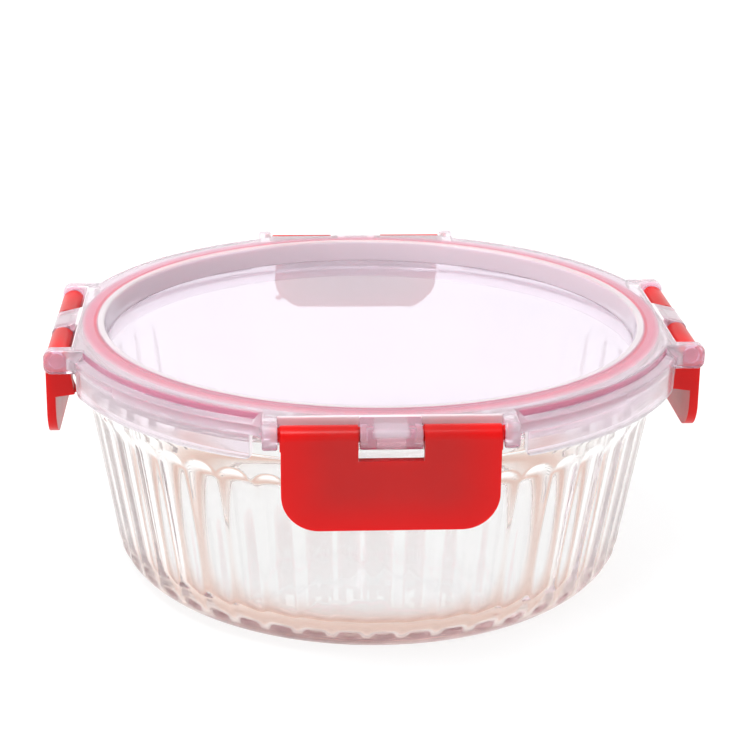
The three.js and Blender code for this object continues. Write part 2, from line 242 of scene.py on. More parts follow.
def flute_cut(angle, height):
    """How deep the flutes are: shallow hollows between rounded ridges, with arched ends."""
    pitch = math.tau / flute_count
    across = abs(2 * (angle / pitch - round(angle / pitch)))
    rise = across ** 2
    if across > ridge_start_share:
        left = (1 - across) / (1 - ridge_start_share)
        rise = ridge_start_share ** 2 + ridge_start_share * (1 - ridge_start_share) * (1 - left ** 2)
    along = max(0, (height - flute_top + flute_arch) / flute_arch,
                (flute_foot + flute_foot_arch - height) / flute_foot_arch)
    return flute_depth * max(0, 1 - rise - along ** 2)


outside_top = rim_radius - rim_overhang
inside_top = outside_top - glass_wall
rim_under = rim_top - rim_depth
mouth = inside_top + wall_lean * rim_depth
outer_arc = corner_arc(outside_top, 0, foot_corner, steps=14)
inner_arc = corner_arc(inside_top, glass_floor, inner_corner, steps=10)
foot_radius = outer_arc[0][0]
wall_heights = [0.0115, 0.015, 0.022, 0.030, 0.038, 0.045, 0.0495]
arch_heights = [flute_top - flute_arch * (1 - step / 8) for step in range(9)]
plain_heights = [flute_top + 0.0005, flute_top + 0.002]
bm = bmesh.new()
profile_face(bm, [
    (0, punt_depth, 0),
    (foot_radius - foot_ring - punt_slope, punt_depth, foot_rounding),
    (foot_radius - foot_ring, 0, foot_rounding),
    *[(radius, height, 0) for radius, height in outer_arc],
    *[(wall_radius(outside_top, z), z, 0) for z in wall_heights + arch_heights + plain_heights],
    (outside_top, rim_under, rim_root_rounding),
    (rim_radius, rim_under, rim_rounding),
    (rim_radius, rim_top, rim_rounding),
    (mouth, rim_top, rim_rounding),
    *[(radius, height, 0) for radius, height in reversed(inner_arc)],
    (0, glass_floor, 0),
])
spin_outline(bm, flute_count * steps_per_flute)
for vert in bm.verts:
    radius = math.hypot(vert.co.x, vert.co.y)
    past_middle = radius > wall_radius(outside_top - glass_wall / 2, vert.co.z)
    on_outside = past_middle or vert.co.z < glass_floor / 2
    if on_outside and radius > foot_radius and vert.co.z < flute_top:
        share = 1 - flute_cut(math.atan2(vert.co.x, -vert.co.y), vert.co.z) / radius
        vert.co.x *= share
        vert.co.y *= share
bmesh.ops.recalc_face_normals(bm, faces=bm.faces)
bowl = object_from(bm, "bowl_glass")
bowl.data.shade_smooth()


def mottle(nodes, links, scale, detail, stretch=(1, 1, 1)):
    """Noise on Object coordinates: soft patches at a coarse scale, grain at a fine one."""
    place = nodes.new("ShaderNodeTexCoord")
    mapping = nodes.new("ShaderNodeMapping")
    mapping.inputs["Scale"].default_value = stretch
    noise = nodes.new("ShaderNodeTexNoise")
    noise.inputs["Scale"].default_value = scale
    noise.inputs["Detail"].default_value = detail
    links.new(place.outputs["Object"], mapping.inputs["Vector"])
    links.new(mapping.outputs["Vector"], noise.inputs["Vector"])
    return noise.outputs["Fac"]


def between(nodes, links, factor, low, high):
    """A number that follows the factor from low to high, over the middle of its range."""
    return ramp(nodes, links, factor, start=0.3, end=0.7, at_start=low, at_end=high)


def blend_colours(nodes, links, factor, low, high):
    """A colour that follows the factor from low to high."""
    mix = nodes.new("ShaderNodeMix")
    mix.data_type = "RGBA"
    mix.inputs[6].default_value = (*low, 1)
    mix.inputs[7].default_value = (*high, 1)
    links.new(factor, mix.inputs[0])
    return mix.outputs[2]


def height_above_table(nodes, links):
    place = nodes.new("ShaderNodeTexCoord")
    split = nodes.new("ShaderNodeSeparateXYZ")
    links.new(place.outputs["Object"], split.inputs["Vector"])
    return split.outputs["Z"]


def distance_from_axis(nodes, links):
    place = nodes.new("ShaderNodeTexCoord")
    flat = nodes.new("ShaderNodeVectorMath")
    flat.operation = "MULTIPLY"
    flat.inputs[1].default_value = (1, 1, 0)
    length = nodes.new("ShaderNodeVectorMath")
    length.operation = "LENGTH"
    links.new(place.outputs["Object"], flat.inputs[0])
    links.new(flat.outputs["Vector"], length.inputs[0])
    return length.outputs["Value"]


def soft_step(nodes, links, value, none_at, full_at):
    """A factor that rises smoothly from 0 at one value to 1 at the other."""
    step = nodes.new("ShaderNodeMapRange")
    step.interpolation_type = "SMOOTHSTEP"
    step.inputs["From Min"].default_value = none_at
    step.inputs["From Max"].default_value = full_at
    links.new(value, step.inputs["Value"])
    return step.outputs["Result"]


def relief(nodes, links, height, strength, depth):
    """Bump of the given depth in metres, as a normal."""
    bump = nodes.new("ShaderNodeBump")
    bump.inputs["Strength"].default_value = strength
    bump.inputs["Distance"].default_value = depth
    links.new(height, bump.inputs["Height"])
    return bump.outputs["Normal"]


clear_glass, nodes, links = new_material("clear_glass")
glass = nodes["Principled BSDF"]
glass.inputs["IOR"].default_value = 1.5
glass.inputs["Transmission Weight"].default_value = 1.0
from_axis = distance_from_axis(nodes, links)
# Painted reflection and shade near the foot's outer corner.
foot_reflection_share = product(
    nodes, links,
    soft_step(nodes, links, height_above_table(nodes, links), warm_height, 0),
    soft_step(nodes, links, from_axis, warm_from_radius, warm_to_radius),
)
links.new(blend_colours(nodes, links, foot_reflection_share, clear_tint, foot_painted_reflection), glass.inputs["Base Color"])
haze = between(nodes, links, mottle(nodes, links, 45, 3), 0.0, 0.035)
links.new(haze, glass.inputs["Roughness"])
ripple = mottle(nodes, links, 70, 1, stretch=(1, 1, 0.35))
links.new(relief(nodes, links, ripple, 0.3, 0.0004), glass.inputs["Normal"])
bowl.data.materials.append(clear_glass)
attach(bowl, "bowl")
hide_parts("bowl")


# Seal ring: moulded pink silicone, square in section, pressed into the groove under the lid's
# ridge. Two lips underneath bear on the glass rim. It shows pink through the frosted frame.
seal_low, seal_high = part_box("seal_ring")
seal_outer = seal_high.x
seal_width = 0.0039
lip_height = 0.0017
lip_root = 0.0012
lip_taper = 0.0003
lip_rounding = 0.0002
seal_rounding = 0.0003
seal_pinks = ((0.97, 0.06, 0.25), (1.0, 0.12, 0.35))
seal_inner_red = (0.90, 0.02, 0.10)
seal_inner = seal_outer - seal_width
lip_top = seal_low.z + lip_height
bm = bmesh.new()
profile_face(bm, [
    (seal_inner, seal_high.z, seal_rounding),
    (seal_inner, lip_top, lip_rounding),
    (seal_outer - 2 * lip_root - lip_taper, lip_top, 0),
    (seal_outer - 2 * lip_root, seal_low.z, lip_rounding),
    (seal_outer - 2 * lip_root + 2 * lip_taper, seal_low.z, lip_rounding),
    (seal_outer - lip_root - lip_taper, lip_top, 0),
    (seal_outer - lip_root, lip_top, 0),
    (seal_outer - lip_root + lip_taper, seal_low.z, lip_rounding),
    (seal_outer - lip_root + 3 * lip_taper, seal_low.z, lip_rounding),
    (seal_outer, lip_top, lip_rounding),
    (seal_outer, seal_high.z, seal_rounding),
], segments=3)
spin_outline(bm, steps=240)
seal = object_from(bm, "seal_silicone")
seal.data.shade_smooth()
pink_silicone, nodes, links = new_material("pink_silicone")
skin = nodes["Principled BSDF"]
patches = mottle(nodes, links, 160, 4)
pink = blend_colours(nodes, links, patches, *seal_pinks)
from_axis = distance_from_axis(nodes, links)
outward = soft_step(nodes, links, from_axis, seal_inner + 0.0004, seal_inner + 0.0014)
two_tone = nodes.new("ShaderNodeMix")
two_tone.data_type = "RGBA"
two_tone.inputs[6].default_value = (*seal_inner_red, 1)
links.new(outward, two_tone.inputs[0])
links.new(pink, two_tone.inputs[7])
links.new(two_tone.outputs[2], skin.inputs["Base Color"])
links.new(between(nodes, links, patches, 0.42, 0.6), skin.inputs["Roughness"])
links.new(relief(nodes, links, mottle(nodes, links, 2500, 2), 0.3, 0.00003), skin.inputs["Normal"])
skin.inputs["Subsurface Weight"].default_value = 0.3
skin.inputs["Subsurface Radius"].default_value = (1.0, 0.4, 0.5)
skin.inputs["Subsurface Scale"].default_value = 0.0015
seal.data.materials.append(pink_silicone)
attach(seal, "lid")
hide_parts("seal_ring")


# Window: a clear moulded disc whose raised middle fills the frame's well. Its thinner flange is
# bonded up into the frame's rebate. Seen at a low angle it looks milky white.
window_low, window_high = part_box("lid_window")
window_flange = 0.0012
panel_radius = 0.0747
window_rounding = 0.00025
window_mauves = ((0.935, 0.865, 0.965), (0.955, 0.89, 0.975))
bm = bmesh.new()
profile_face(bm, [
    (0, window_low.z, 0),
    (window_high.x, window_low.z, window_rounding),
    (window_high.x, window_low.z + window_flange, window_rounding),
    (panel_radius, window_low.z + window_flange, 0),
    (panel_radius, window_high.z, window_rounding),
    (0, window_high.z, 0),
], segments=3)
spin_outline(bm, steps=192)
window = object_from(bm, "window_panel")
window.data.shade_smooth()
weighted = window.modifiers.new("flat faces", "WEIGHTED_NORMAL")
weighted.keep_sharp = True
clear_plastic, nodes, links = new_material("clear_plastic")
pane = nodes["Principled BSDF"]
clouds = mottle(nodes, links, 30, 3)
links.new(blend_colours(nodes, links, clouds, *window_mauves), pane.inputs["Base Color"])
links.new(between(nodes, links, clouds, 0.01, 0.035), pane.inputs["Roughness"])
links.new(relief(nodes, links, mottle(nodes, links, 55, 2), 0.1, 0.0001), pane.inputs["Normal"])
pane.inputs["IOR"].default_value = 1.49
pane.inputs["Transmission Weight"].default_value = 0.75
window.data.materials.append(clear_plastic)
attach(window, "lid")
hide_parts("lid_window")


# Lid frame: frosted see-through polypropylene in one moulding. A ring with a raised ridge over the
# seal, a sloped shoulder and a thin skirt. At each of the four bays the skirt stops, and two ears
# and a hollow middle knuckle stand out from a flat back wall to carry the latch's pins.
frame_low, frame_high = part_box("lid_frame")
gap = 0.0003
sliver = 0.00002
past = 0.003
ridge_top = frame_high.z
groove_inner = seal_inner - gap
groove_outer = seal_outer + gap
groove_roof = seal_high.z + gap
groove_wall_outer = groove_outer + 0.0015
groove_wall_bottom = rim_top + 0.0009
well_radius = panel_radius + gap
well_draft = 0.0008
rebate_radius = window_high.x + gap
rebate_roof = window_low.z + window_flange + gap
skirt_inner = rim_radius + 0.00176
skirt_outer = skirt_inner + 0.0013
skirt_bottom = frame_low.z
shoulder_top = ridge_top - 0.00206
shoulder_edge = ridge_top - 0.00266
ridge_outer = skirt_outer - 0.00266
pocket_roof = shoulder_edge - 0.002
middle_gap = (groove_wall_outer + skirt_inner) / 2
outside = skirt_outer + past
hinge_reach = -hinge_y
bay_plane = groove_outer + 0.0008
ear_inner = 0.0279
ear_outer = 0.0317
ear_half_height = ridge_top - hinge_z
ear_root = bay_plane - 0.0036
nose_rounding = 0.0022
nose_reach = 0.0035
nose = hinge_reach + nose_reach
lug_bottom = hinge_z - ear_half_height
knuckle_half = 0.00775
knuckle_nose_rounding = 0.0016
knuckle_nose_top = hinge_z + 0.00175
knuckle_slope = (ridge_top - knuckle_nose_top) / (nose - bay_plane)
knuckle_wall = 0.0008
pocket_half = 0.0036
pocket_middle = hinge_z + 0.0003
pocket_top_half = 0.0044
pocket_top_depth = 0.0042
pin_radius = 0.0019
pin_length = 0.0016
pin_segments = 32
skirt_gap_half = 0.034
skirt_gap_top = shoulder_edge - 0.00278
skirt_corner = 0.0025
web_fillet = 0.0045
fine_rounding = 0.0002
edge_rounding = 0.0003
shoulder_rounding = 0.0004
corner_rounding = 0.0005
soft_rounding = 0.0006
round_steps = 288


def slab(name, corners, start, end, along, rounding=0.0):
    """Outline of (across, height, rounding) points, given thickness along X or out along -Y."""
    bm = bmesh.new()
    profile_face(bm, corners)
    made = bmesh.ops.extrude_face_region(bm, geom=bm.faces[:])
    moved = [v for v in made["geom"] if isinstance(v, bmesh.types.BMVert)]
    bmesh.ops.translate(bm, verts=moved, vec=(0, start - end, 0))
    bmesh.ops.recalc_face_normals(bm, faces=bm.faces)
    if rounding:
        rims = [e for e in bm.edges if abs(e.verts[0].co.y - e.verts[1].co.y) < touching]
        bmesh.ops.bevel(
            bm, geom=rims, affect="EDGES", offset=rounding, segments=4, profile=0.5,
            material=-1, clamp_overlap=False,
        )
    if along == "X":
        quarter = Matrix.Rotation(math.pi / 2, 3, "Z")
        bmesh.ops.rotate(bm, verts=bm.verts, cent=(0, 0, 0), matrix=quarter)
        bmesh.ops.translate(bm, verts=bm.verts, vec=(start, 0, 0))
    else:
        bmesh.ops.translate(bm, verts=bm.verts, vec=(0, -start, 0))
    return object_from(bm, name)


def round_bar(name, radius, start, end, segments):
    """Round bar along X about the front hinge axis."""
    bm = bmesh.new()
    bmesh.ops.create_cone(
        bm, cap_ends=True, segments=segments, radius1=radius, radius2=radius, depth=end - start,
    )
    quarter = Matrix.Rotation(math.pi / 2, 3, "Y")
    bmesh.ops.rotate(bm, verts=bm.verts, cent=(0, 0, 0), matrix=quarter)
    bmesh.ops.translate(bm, verts=bm.verts, vec=((start + end) / 2, -hinge_reach, hinge_z))
    return object_from(bm, name)


def upright_cylinder(name, radius, low, high):
    bm = bmesh.new()
    profile_face(bm, [(0, low, 0), (radius, low, 0), (radius, high, 0), (0, high, 0)])
    spin_outline(bm, round_steps)
    return object_from(bm, name)


def carve(body, tool, operation):
    """Joins the tool to the body or cuts it away, and removes the tool."""
    modifier = body.modifiers.new("carve", "BOOLEAN")
    modifier.operation = operation
    modifier.solver = "MANIFOLD"
    modifier.object = tool
    bpy.context.view_layer.update()
    result = bpy.data.meshes.new_from_object(
        body.evaluated_get(bpy.context.evaluated_depsgraph_get())
    )
    result.materials.clear()
    body.modifiers.clear()
    body.data = result
    bpy.data.objects.remove(tool)


def quarter_copies(tool):
    """The tool at all four bays, as one object."""
    bm = bmesh.new()
    bm.from_mesh(tool.data)
    one = bm.verts[:] + bm.edges[:] + bm.faces[:]
    for bay in range(1, 4):
        made = bmesh.ops.duplicate(bm, geom=one)
        verts = [v for v in made["geom"] if isinstance(v, bmesh.types.BMVert)]
        bmesh.ops.rotate(
            bm, verts=verts, cent=(0, 0, 0), matrix=Matrix.Rotation(bay * math.pi / 2, 3, "Z"),
        )
    name = tool.name + "_all"
    bpy.data.objects.remove(tool)
    return object_from(bm, name)


def ear_web(name, side):
    """Soft web in the corner between an ear's outer side and the ring."""
    levels = [
        # height, radius of the ring's side there, fillet
        (skirt_gap_top + sliver, skirt_outer - sliver, web_fillet),
        (shoulder_edge - 0.0002, skirt_outer - sliver, web_fillet),
        (shoulder_edge + 0.0001, skirt_outer - 0.0003, web_fillet - 0.0002),
        (shoulder_top + 0.0003, ridge_outer + 0.0011, web_fillet - 0.0015),
        (shoulder_top + 0.0011, ridge_outer + 0.0004, web_fillet - 0.0027),
        (ridge_top - 0.0003, ridge_outer + 0.0001, web_fillet - 0.0037),
    ]
    root_depth = 0.002
    ring_depth = 0.0009
    bm = bmesh.new()
    bottom = below = None
    for height, ring, fillet in levels:
        centre_x = ear_outer + fillet
        centre_y = math.sqrt((ring + fillet) ** 2 - centre_x ** 2)
        ring_angle = math.atan2(centre_y, centre_x)
        inner = ring - ring_depth
        inside_ear = ear_outer - root_depth
        points = [(inside_ear, ear_root), (inside_ear, centre_y), (ear_outer, centre_y)]
        for step in range(1, 9):
            angle = math.pi + ring_angle * step / 8
            points.append((centre_x + fillet * math.cos(angle), centre_y + fillet * math.sin(angle)))
        points.append((inner * math.cos(ring_angle), inner * math.sin(ring_angle)))
        outline = bm.faces.new([bm.verts.new((side * x, -y, height)) for x, y in points])
        if below is None:
            bottom = outline
        else:
            bmesh.ops.bridge_loops(bm, edges=below.edges[:] + outline.edges[:])
            if below is not bottom:
                bmesh.ops.delete(bm, geom=[below], context="FACES_ONLY")
        below = outline
    bmesh.ops.recalc_face_normals(bm, faces=bm.faces)
    return object_from(bm, name)


bm = bmesh.new()
profile_face(bm, [
    (well_radius, rebate_roof, fine_rounding),
    (rebate_radius, rebate_roof, fine_rounding),
    (rebate_radius, seal_low.z, fine_rounding),
    (groove_inner, seal_low.z, fine_rounding),
    (groove_inner, groove_roof, edge_rounding),
    (groove_outer, groove_roof, edge_rounding),
    (groove_outer, groove_wall_bottom, edge_rounding),
    (groove_wall_outer, groove_wall_bottom, edge_rounding),
    (groove_wall_outer, pocket_roof, edge_rounding),
    (skirt_inner, pocket_roof, edge_rounding),
    (skirt_inner, skirt_bottom, edge_rounding),
    (skirt_outer, skirt_bottom, edge_rounding),
    (skirt_outer, shoulder_edge, shoulder_rounding),
    (ridge_outer, shoulder_top, edge_rounding),
    (ridge_outer, ridge_top, corner_rounding),
    (well_radius + well_draft, ridge_top, soft_rounding),
], segments=3)
spin_outline(bm, round_steps)
lid_frame = object_from(bm, "lid_frosted")

gap_edge = skirt_gap_half + 2 * skirt_corner
gap_cutter = slab("gap_cutter", [
    (-skirt_gap_half, skirt_gap_top, corner_rounding),
    (skirt_gap_half, skirt_gap_top, corner_rounding),
    (skirt_gap_half, skirt_bottom - sliver, skirt_corner),
    (gap_edge, skirt_bottom - sliver, 0),
    (gap_edge, skirt_bottom - past, 0),
    (-gap_edge, skirt_bottom - past, 0),
    (-gap_edge, skirt_bottom - sliver, 0),
    (-skirt_gap_half, skirt_bottom - sliver, skirt_corner),
], well_radius, outside, "Y")
core = upright_cylinder("core", middle_gap, skirt_bottom - 2 * past, ridge_top)
carve(gap_cutter, core, "DIFFERENCE")
carve(lid_frame, quarter_copies(gap_cutter), "DIFFERENCE")

bay_cutter = slab("bay_cutter", [
    (-outside, ridge_top + past, 0),
    (-outside, skirt_bottom - past, 0),
    (-bay_plane, skirt_bottom - past, 0),
    (-bay_plane, ridge_top + sliver, corner_rounding),
    (past - bay_plane, ridge_top + sliver, 0),
    (past - bay_plane, ridge_top + past, 0),
], -ear_inner, ear_inner, "X")
carve(lid_frame, quarter_copies(bay_cutter), "DIFFERENCE")

back_wall = slab("back_wall", [
    (sliver - bay_plane, ridge_top - sliver, corner_rounding),
    (sliver - bay_plane, groove_wall_bottom + sliver, edge_rounding),
    (-ear_root, groove_wall_bottom + sliver, 0),
    (-ear_root, ridge_top - sliver, 0),
], -ear_outer + past, ear_outer - past, "X")
groove_spare = 0.0001
groove_room = upright_cylinder(
    "groove_room", groove_outer + groove_spare, skirt_bottom, groove_roof + groove_spare,
)
carve(back_wall, groove_room, "DIFFERENCE")
carve(lid_frame, quarter_copies(back_wall), "UNION")

lug_corners = [
    (-nose, ridge_top - sliver, nose_rounding),
    (-nose, lug_bottom, nose_rounding),
    (-ear_root, lug_bottom, 0),
    (-ear_root, ridge_top - sliver, 0),
]
right_ear = slab("right_ear", lug_corners, ear_inner - sliver, ear_outer, "X", rounding=soft_rounding)
left_ear = slab("left_ear", lug_corners, -ear_outer, sliver - ear_inner, "X", rounding=soft_rounding)
carve(lid_frame, quarter_copies(right_ear), "UNION")
carve(lid_frame, quarter_copies(left_ear), "UNION")
carve(lid_frame, quarter_copies(ear_web("right_web", 1)), "UNION")
carve(lid_frame, quarter_copies(ear_web("left_web", -1)), "UNION")

knuckle_root = (groove_outer + bay_plane) / 2
knuckle = slab("knuckle", [
    (-nose, knuckle_nose_top, knuckle_nose_rounding),
    (-nose, lug_bottom, nose_rounding),
    (-knuckle_root, lug_bottom, 0),
    (-knuckle_root, ridge_top - sliver, 0),
    (sliver - bay_plane, ridge_top - sliver, 0),
], -knuckle_half, knuckle_half, "X", rounding=corner_rounding)
pocket_front = nose - knuckle_wall
pocket_roof_front = knuckle_nose_top + knuckle_slope * knuckle_wall - knuckle_wall
pocket_roof_back = pocket_roof_front + knuckle_slope * pocket_top_depth
pocket_upper = slab("pocket_upper", [
    (-pocket_front, pocket_middle - sliver, 0),
    (-pocket_front, pocket_roof_front, corner_rounding),
    (pocket_top_depth - pocket_front, pocket_roof_back, corner_rounding),
    (pocket_top_depth - pocket_front, pocket_middle - sliver, 0),
], -pocket_top_half, pocket_top_half, "X", rounding=corner_rounding)
pocket_lower = slab("pocket_lower", [
    (-pocket_front, skirt_bottom, 0),
    (-pocket_front, pocket_middle + sliver, 0),
    (-bay_plane - sliver, pocket_middle + sliver, corner_rounding),
    (-bay_plane - sliver, skirt_bottom, 0),
], -pocket_half, pocket_half, "X")
carve(knuckle, pocket_upper, "DIFFERENCE")
carve(knuckle, pocket_lower, "DIFFERENCE")
carve(lid_frame, quarter_copies(knuckle), "UNION")

bore_start = knuckle_half - pin_length - gap
bore_end = ear_inner + pin_length + gap
for bore_from, bore_to in ((bore_start, bore_end), (-bore_end, -bore_start)):
    bore = round_bar("bore", pin_radius + gap, bore_from, bore_to, pin_segments)
    carve(lid_frame, quarter_copies(bore), "DIFFERENCE")

lid_frame.data.shade_smooth()
lid_frame.data.set_sharp_from_angle(angle=math.radians(35))
weighted = lid_frame.modifiers.new("flat faces", "WEIGHTED_NORMAL")
weighted.keep_sharp = True

milk_dark = (0.97, 0.875, 0.95)
milk_light = (0.98, 0.90, 0.965)
well_mauve = (0.985, 0.915, 1.0)
# Painted highlight: a white band along the ridge's inner top edge, also made less clear.
painted_ledge_highlight = (0.985, 0.93, 0.965)
# Painted highlight: white lines along the skirt's bottom lip and along its cut ends.
painted_skirt_edge_highlight = (1.0, 0.95, 0.98)
# Painted light: the bay's back wall, shaded by the barrels in front of it, is lightened and made less
# clear.
painted_bay_wall_light = (1.0, 0.93, 0.97)
# Painted glow: where the pink seal shows through the frosted ridge, on its top and on its outer wall,
# its pink is painted into the frame's colour, with a red line where the seal's inner edge shows
# through.
painted_seal_glow = (0.95, 0.52, 0.66)
painted_seal_line_glow = (0.96, 0.24, 0.36)
painted_ridge_wall_glow = (0.95, 0.46, 0.64)
# Painted glow: the red latch showing pink through the frosted ears, the knuckle's cheeks and the
# knuckle's foot is painted into the frame's colour.
painted_ear_glow = (0.98, 0.64, 0.79)
painted_cheek_glow = (0.95, 0.68, 0.80)
painted_knuckle_foot_glow = (0.93, 0.60, 0.68)
glow_inner = seal_inner - 0.0001
barrel_glow = 0.0031


def tint_where(nodes, links, factor, colour, tint):
    """The colour, turning into the tint where the factor is 1."""
    mix = nodes.new("ShaderNodeMix")
    mix.data_type = "RGBA"
    mix.inputs[7].default_value = (*tint, 1)
    links.new(factor, mix.inputs[0])
    links.new(colour, mix.inputs[6])
    return mix.outputs[2]


def bay_directions(nodes, links):
    """How far a place lies across the nearest bay and out along it, the same at all four bays."""
    place = nodes.new("ShaderNodeTexCoord")
    size = nodes.new("ShaderNodeVectorMath")
    size.operation = "ABSOLUTE"
    split = nodes.new("ShaderNodeSeparateXYZ")
    links.new(place.outputs["Object"], size.inputs[0])
    links.new(size.outputs["Vector"], split.inputs["Vector"])
    found = []
    for operation in ("MINIMUM", "MAXIMUM"):
        pick = nodes.new("ShaderNodeMath")
        pick.operation = operation
        links.new(split.outputs["X"], pick.inputs[0])
        links.new(split.outputs["Y"], pick.inputs[1])
        found.append(pick.outputs["Value"])
    return found


def distance_from_hinge(nodes, links, outward, height):
    """Distance from the nearest bay's hinge axis."""
    join = nodes.new("ShaderNodeCombineXYZ")
    away = nodes.new("ShaderNodeVectorMath")
    away.operation = "DISTANCE"
    away.inputs[1].default_value = (0, hinge_reach, hinge_z)
    links.new(outward, join.inputs["Y"])
    links.new(height, join.inputs["Z"])
    links.new(join.outputs["Vector"], away.inputs[0])
    return away.outputs["Value"]


def where_all(nodes, links, *steps):
    """A factor that is 1 where each value has gone from its none_at past its full_at."""
    return product(nodes, links, *[soft_step(nodes, links, *step) for step in steps])


frosted_plastic, nodes, links = new_material("frosted_plastic")
frost = nodes["Principled BSDF"]
clouds = mottle(nodes, links, 90, 4)
milk = blend_colours(nodes, links, clouds, milk_dark, milk_light)
from_axis = distance_from_axis(nodes, links)
height = height_above_table(nodes, links)
across, outward = bay_directions(nodes, links)
from_hinge = distance_from_hinge(nodes, links, outward, height)
seal_roof = (height, groove_roof - 0.001, groove_roof)
skirt_faces = (from_axis, skirt_inner - 0.0004, skirt_inner - 0.0001)
knuckle_width = (across, knuckle_half + 0.0005, knuckle_half)
# Painted glow of the seal, of its inner edge and of the ridge wall in front of it.
over_seal = where_all(
    nodes, links, seal_roof,
    (from_axis, glow_inner - 0.0005, glow_inner),
    (from_axis, seal_outer + 0.0006, seal_outer - 0.0014),
)
on_seal_line = where_all(
    nodes, links, seal_roof,
    (from_axis, glow_inner, glow_inner + 0.0003),
    (from_axis, glow_inner + 0.0011, glow_inner + 0.0006),
)
on_ridge_wall = where_all(
    nodes, links,
    (from_axis, ridge_outer - 0.0012, ridge_outer - 0.0006),
    (from_axis, ridge_outer + 0.0004, ridge_outer + 0.0001),
    (height, ridge_top - 0.0003, ridge_top - 0.0008),
    (height, shoulder_top - 0.0003, shoulder_top),
    (across, ear_inner, ear_outer),
)
# Painted glow of the red barrels and latch inside the ears and the knuckle.
in_ear = where_all(
    nodes, links,
    (from_hinge, barrel_glow + 0.0005, barrel_glow),
    (outward, hinge_reach - 0.0029, hinge_reach - 0.0026),
    (across, ear_inner - 0.001, ear_inner),
)
in_cheek = where_all(
    nodes, links, knuckle_width,
    (across, pocket_half, pocket_half + 0.0012),
    (outward, hinge_reach - nose_reach - 0.001, hinge_reach - nose_reach),
)
in_knuckle_foot = where_all(
    nodes, links, knuckle_width,
    (outward, hinge_reach - 0.001, hinge_reach + 0.001),
    (height, pocket_middle + 0.0004, pocket_middle - 0.0006),
)
on_well_wall = soft_step(nodes, links, from_axis, well_radius + 0.0016, well_radius + 0.0009)
on_ledge_highlight = where_all(
    nodes, links,
    (from_axis, well_radius + 0.0006, well_radius + 0.0009),
    (from_axis, glow_inner, glow_inner - 0.0004),
    (height, ridge_top - 0.0006, ridge_top - 0.0003),
)
on_painted_bay_wall = where_all(
    nodes, links,
    (across, ear_inner + 0.0002, ear_inner - 0.0002),
    (outward, bay_plane - 0.0006, bay_plane - 0.0002),
    (outward, bay_plane + 0.0008, bay_plane + 0.0004),
)
on_skirt_lip_highlight = where_all(
    nodes, links, skirt_faces,
    (height, skirt_bottom + 0.0008, skirt_bottom + 0.0004),
)
on_skirt_end_highlight = where_all(
    nodes, links, skirt_faces,
    (across, skirt_gap_half - 0.0003, skirt_gap_half - 0.0001),
    (across, skirt_gap_half + 0.0009, skirt_gap_half + 0.0005),
    (height, skirt_gap_top + 0.0002, skirt_gap_top - 0.0002),
)
# Tints over the milky base: painted highlights on the ledge and skirt edges, painted light on the bay
# wall, and painted glow where the seal and latches show through.
tinted = milk
for place, colour in (
    (on_well_wall, well_mauve),
    (on_ledge_highlight, painted_ledge_highlight),
    (on_skirt_lip_highlight, painted_skirt_edge_highlight),
    (on_skirt_end_highlight, painted_skirt_edge_highlight),
    (over_seal, painted_seal_glow),
    (on_seal_line, painted_seal_line_glow),
    (on_ridge_wall, painted_ridge_wall_glow),
    (in_ear, painted_ear_glow),
    (in_cheek, painted_cheek_glow),
    (in_knuckle_foot, painted_knuckle_foot_glow),
    (on_painted_bay_wall, painted_bay_wall_light),
):
    tinted = tint_where(nodes, links, place, tinted, colour)
links.new(tinted, frost.inputs["Base Color"])
at_skirt = soft_step(nodes, links, height, shoulder_edge - 0.002, shoulder_edge - 0.004)
clearness = between(nodes, links, at_skirt, 0.72, 0.88)
# Less clear on the well wall, and where the painted ledge highlight, skirt highlights and bay wall
# light are, so these read whiter.
for place, clear_share in (
    (on_well_wall, 0.36),
    (on_ledge_highlight, 0.5),
    (on_painted_bay_wall, 0.25),
    (on_skirt_lip_highlight, 0.4),
    (on_skirt_end_highlight, 0.4),
):
    milkier = nodes.new("ShaderNodeMix")
    milkier.inputs[3].default_value = clear_share
    links.new(place, milkier.inputs[0])
    links.new(clearness, milkier.inputs[2])
    clearness = milkier.outputs[0]
links.new(clearness, frost.inputs["Transmission Weight"])
links.new(between(nodes, links, clouds, 0.11, 0.16), frost.inputs["Roughness"])
links.new(relief(nodes, links, mottle(nodes, links, 900, 2), 0.2, 0.00003), frost.inputs["Normal"])
frost.inputs["IOR"].default_value = 1.36
frost.inputs["Coat Weight"].default_value = 0.25
frost.inputs["Coat Roughness"].default_value = 0.08
lid_frame.data.materials.append(frosted_plastic)
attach(lid_frame, "lid")
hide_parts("lid_frame")


# Latches: four alike, each moulded in red plastic in one piece. Two barrels with a pin at each end
# turn in the frame's ears and knuckle. A flat flap hangs from them, and a hook rib inside it, held
# by a gusset at each end, snaps under the glass rim.
latch_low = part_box("latch_front")[0]
barrel_radius = 0.00325
barrel_drop = 0.0008
barrel_reach = nose - barrel_radius
barrel_flat = 0.0026
flap_bottom = latch_low.z
flap_inner = 0.001
flap_half = 0.0271
flap_corner = 0.0095
latch_half = 0.0274
notch_half = knuckle_half + 0.0004
notch_bottom = hinge_z - 0.0059
hook_half = 0.025
hook_top = rim_under - 0.0008
hook_root_bottom = hook_top - 0.0018
hook_tip_bottom = hook_top - 0.0009
gusset_width = 0.0026
gusset_reach = 0.0042
flap_start = hinge_z - 0.0032
latch_rounding = 0.0005
soft_edge = 0.0003
# Painted shade, sheen and glow: the flap's middle is a darker, greyer red for shade and a soft sheen,
# and its sides and bottom are a brighter, purer red for light glowing through the edges.
painted_shade_sheen_reds = ((0.49, 0.011, 0.010), (0.57, 0.014, 0.013))
painted_edge_glow_reds = ((0.64, 0.003, 0.003), (0.72, 0.005, 0.005))
painted_shade_rise = 0.011


